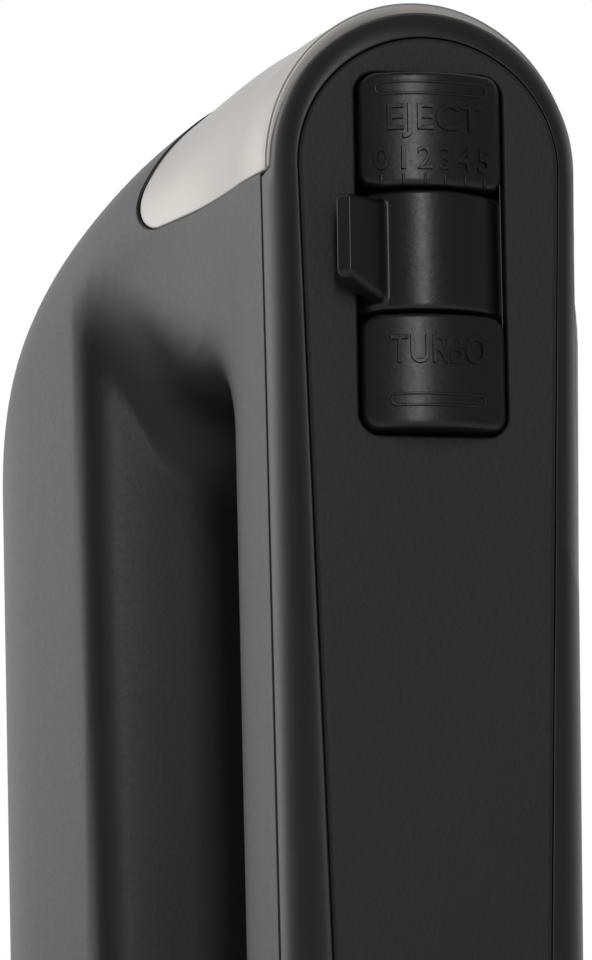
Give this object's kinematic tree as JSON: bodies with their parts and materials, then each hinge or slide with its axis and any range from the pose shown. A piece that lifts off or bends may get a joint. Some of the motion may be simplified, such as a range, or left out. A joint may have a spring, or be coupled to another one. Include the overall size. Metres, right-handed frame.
{
  "type": "hand mixer",
  "caption": "Electric hand mixer that stands on its heel: looped handle with slide switch and buttons, motor body with beater sockets below.",
  "frame": {"origin": "point of the heel's rest face in line with the motor's shaft", "axes": "+Z from the heel to the nose along the handle, -Y out of the grip panel, +Y out of the underside with the beater sockets, X across; X = 0 is the plane of symmetry"},
  "size_m": [0.0854, 0.1484, 0.2024],
  "materials": {
    "soft_black": "soft-touch, very fine speckle",
    "satin_black": "satin",
    "grain_black": "fine moulded grain",
    "nose_silver": "satin",
    "button_black": "semi-gloss",
    "foot_rubber": "matte",
    "inner_plastic": "as moulded",
    "steel": "ground",
    "copper": "enamelled copper wire",
    "bronze": "sintered",
    "cast_alloy": "as cast",
    "carbon": "carbon",
    "nylon": "natural",
    "board_green": "solder mask",
    "capacitor_film": "sleeve"
  },
  "bodies": {
    "housing": {"main_housing": "soft_black", "base_cover": "soft_black", "handle_cover": "satin_black", "grip_panel": "grain_black", "nose_trim": "nose_silver", "heel_foot": "foot_rubber", "port_collars": "inner_plastic", "cord_inlet": "foot_rubber", "base_screws": "steel", "drum_pin": "steel", "control_frame": "inner_plastic", "switch_block": "inner_plastic", "turbo_switch": "inner_plastic", "control_board": "board_green", "board_capacitor": "capacitor_film", "eject_spring": "steel", "turbo_spring": "steel", "stator_core": "steel", "stator_windings": "copper", "rear_bearing": "bronze", "front_bearing": "bronze", "rear_bracket": "inner_plastic", "motor_screws": "steel", "brush_holders": "inner_plastic", "carbon_brushes": "carbon", "gearbox_frame": "cast_alloy", "upper_bushes": "bronze", "lower_bushes": "bronze", "frame_screws": "steel"},
    "speed_slider": {"speed_drum": "button_black"},
    "eject": {"eject_button": "button_black", "eject_rod": "steel", "eject_yoke": "inner_plastic", "eject_pins": "steel"},
    "turbo": {"turbo_button": "button_black"},
    "rotor": {"motor_shaft": "steel", "rotor_core": "steel", "rotor_windings": "copper", "commutator": "copper", "fan": "inner_plastic", "worm": "steel"},
    "left_output": {"left_spindle": "steel", "left_gear": "nylon"},
    "right_output": {"right_spindle": "steel", "right_gear": "nylon"}
  },
  "joints": [
    {"name": "speed_turn", "type": "hinge", "parent": "housing", "child": "speed_slider", "pos_m": [0, -0.094, 0.1646], "axis": [0, 0, 1], "range_deg": [0, 75]},
    {"name": "eject_press", "type": "slide", "parent": "housing", "child": "eject", "axis": [0, 1, 0], "range_m": [0, 0.0035], "stiffness_N_per_m": 900, "springref_m": -0.002, "deforming": ["eject_spring"]},
    {"name": "turbo_press", "type": "slide", "parent": "housing", "child": "turbo", "axis": [0, 1, 0], "range_m": [0, 0.002], "stiffness_N_per_m": 700, "springref_m": -0.002, "deforming": ["turbo_spring"]},
    {"name": "motor_spin", "type": "hinge", "parent": "housing", "child": "rotor", "pos_m": [0, 0, 0], "axis": [0, 0, 1], "continuous": true},
    {"name": "left_spin", "type": "hinge", "parent": "housing", "child": "left_output", "pos_m": [-0.017, 0, 0.13], "axis": [0, 1, 0], "continuous": true},
    {"name": "right_spin", "type": "hinge", "parent": "housing", "child": "right_output", "pos_m": [0.017, 0, 0.13], "axis": [0, 1, 0], "continuous": true}
  ],
  "couplings": [
    {"joint": "left_spin", "follows": "motor_spin", "ratio": 0.076923},
    {"joint": "right_spin", "follows": "motor_spin", "ratio": -0.076923}
  ]
}
